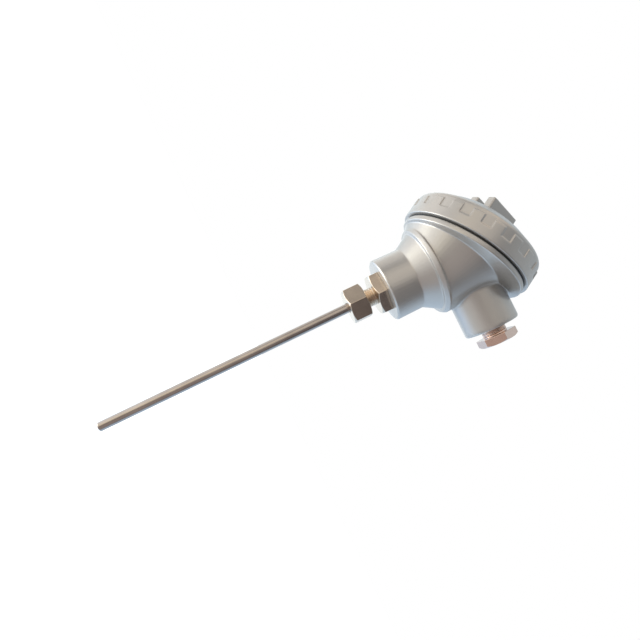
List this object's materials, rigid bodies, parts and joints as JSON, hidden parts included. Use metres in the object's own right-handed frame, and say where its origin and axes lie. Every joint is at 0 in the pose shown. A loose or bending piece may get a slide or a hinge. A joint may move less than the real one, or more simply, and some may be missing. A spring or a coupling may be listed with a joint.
{
  "type": "rtd probe with connection head",
  "caption": "Resistance thermometer probe: slim metal sheath in a compression fitting under a die-cast head with a slanted screw lid and a side cable gland.",
  "frame": {"origin": "on the probe's axis, where the sheath leaves the compression nut", "axes": "+Z along the probe towards the head, +X out of the cable entry"},
  "size_m": [0.1051, 0.0894, 0.2922],
  "materials": {
    "painted_casting": "satin silver-grey paint on die-cast aluminium",
    "fitting_steel": "turned stainless steel",
    "sheath_steel": "drawn stainless steel tube",
    "screw_steel": "plated steel",
    "gland_nickel": "nickel-plated brass with a warm cast",
    "brass": "machined brass",
    "black_rubber": "matt black rubber",
    "ceramic": "unglazed white ceramic",
    "lead_white": "white wire insulation",
    "lead_red": "red wire insulation"
  },
  "bodies": {
    "head": {"head_housing": "painted_casting", "compression_body": "fitting_steel", "sheath": "sheath_steel", "insulation_core": "ceramic", "sensing_element": "ceramic", "cold_end_seal": "black_rubber", "lead_wire_1": "lead_white", "lead_wire_2": "lead_red", "lead_wire_3": "lead_white", "terminal_block": "ceramic", "terminal_strip_1": "brass", "terminal_strip_2": "brass", "terminal_strip_3": "brass", "terminal_clamps": "screw_steel", "terminal_screws": "brass", "block_screws": "screw_steel", "block_washers": "screw_steel", "earth_screw": "screw_steel", "earth_clamp": "screw_steel", "gland_seal": "black_rubber"},
    "lid_seal": {"lid_gasket": "black_rubber"},
    "lid_cover": {"lid": "painted_casting"},
    "ferrule_ring": {"ferrule": "brass"},
    "nut": {"compression_nut": "fitting_steel"},
    "gland_washer": {"thrust_washer": "gland_nickel"},
    "gland": {"gland_screw": "gland_nickel"}
  },
  "joints": [
    {"name": "lid_lift", "type": "slide", "parent": "head", "child": "lid_seal", "axis": [-0.5, 0, 0.866], "range_m": [0, 0.007]},
    {"name": "lid_turn", "type": "hinge", "parent": "lid_seal", "child": "lid_cover", "pos_m": [0.0015, 0, 0.082], "axis": [-0.5, 0, 0.866], "range_deg": [0, 1260]},
    {"name": "nut_travel", "type": "slide", "parent": "head", "child": "ferrule_ring", "axis": [0, 0, -1], "range_m": [0, 0.004]},
    {"name": "nut_turn", "type": "hinge", "parent": "ferrule_ring", "child": "nut", "pos_m": [0, 0, 0.005], "axis": [0, 0, -1], "range_deg": [0, 1440]},
    {"name": "gland_travel", "type": "slide", "parent": "head", "child": "gland_washer", "axis": [1, 0, 0], "range_m": [0, 0.006]},
    {"name": "gland_turn", "type": "hinge", "parent": "gland_washer", "child": "gland", "pos_m": [0.055, 0, 0.078], "axis": [1, 0, 0], "range_deg": [0, 1440]}
  ],
  "couplings": [
    {"joint": "lid_lift", "follows": "lid_turn", "m_per_rad": 0.0003183},
    {"joint": "nut_travel", "follows": "nut_turn", "m_per_rad": 0.00015915},
    {"joint": "gland_travel", "follows": "gland_turn", "m_per_rad": 0.00023873}
  ]
}
